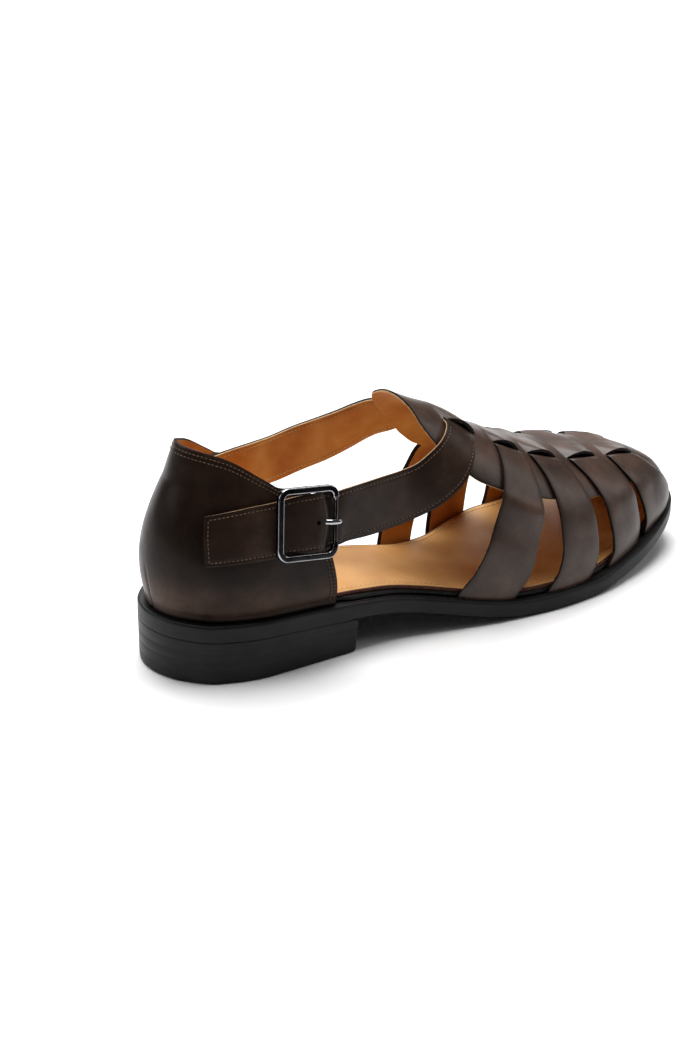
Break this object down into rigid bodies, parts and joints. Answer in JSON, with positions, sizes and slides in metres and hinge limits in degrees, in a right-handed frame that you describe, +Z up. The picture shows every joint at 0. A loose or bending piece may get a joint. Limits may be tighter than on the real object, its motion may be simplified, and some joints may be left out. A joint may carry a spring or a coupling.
{
  "type": "fisherman sandal",
  "caption": "Right-foot leather fisherman sandal: woven cross straps over a tongue, closed heel counter, buckled ankle strap, low stacked heel.",
  "frame": {"origin": "bottom centre of the bounding box, on the floor under the middle of the shoe's length and width", "axes": "+X from heel to toe, +Y towards the inner (medial) side of the foot, +Z up; the floor is z = 0"},
  "size_m": [0.3, 0.1045, 0.1115],
  "materials": {
    "sole_black": "satin black sole edge",
    "heel_black": "satin black stacked lifts",
    "rand_black": "black edge-dyed leather",
    "insole_tan": "smooth vegetable-tan lining leather",
    "upper_brown": "burnished dark brown calf, waxed",
    "buckle_metal": "polished gunmetal plating"
  },
  "bodies": {
    "root": {"outsole": "sole_black", "heel": "heel_black", "midsole": "rand_black", "insole": "insole_tan", "upper": "upper_brown", "buckle_frame": "buckle_metal", "buckle_prong": "buckle_metal"}
  },
  "joints": []
}
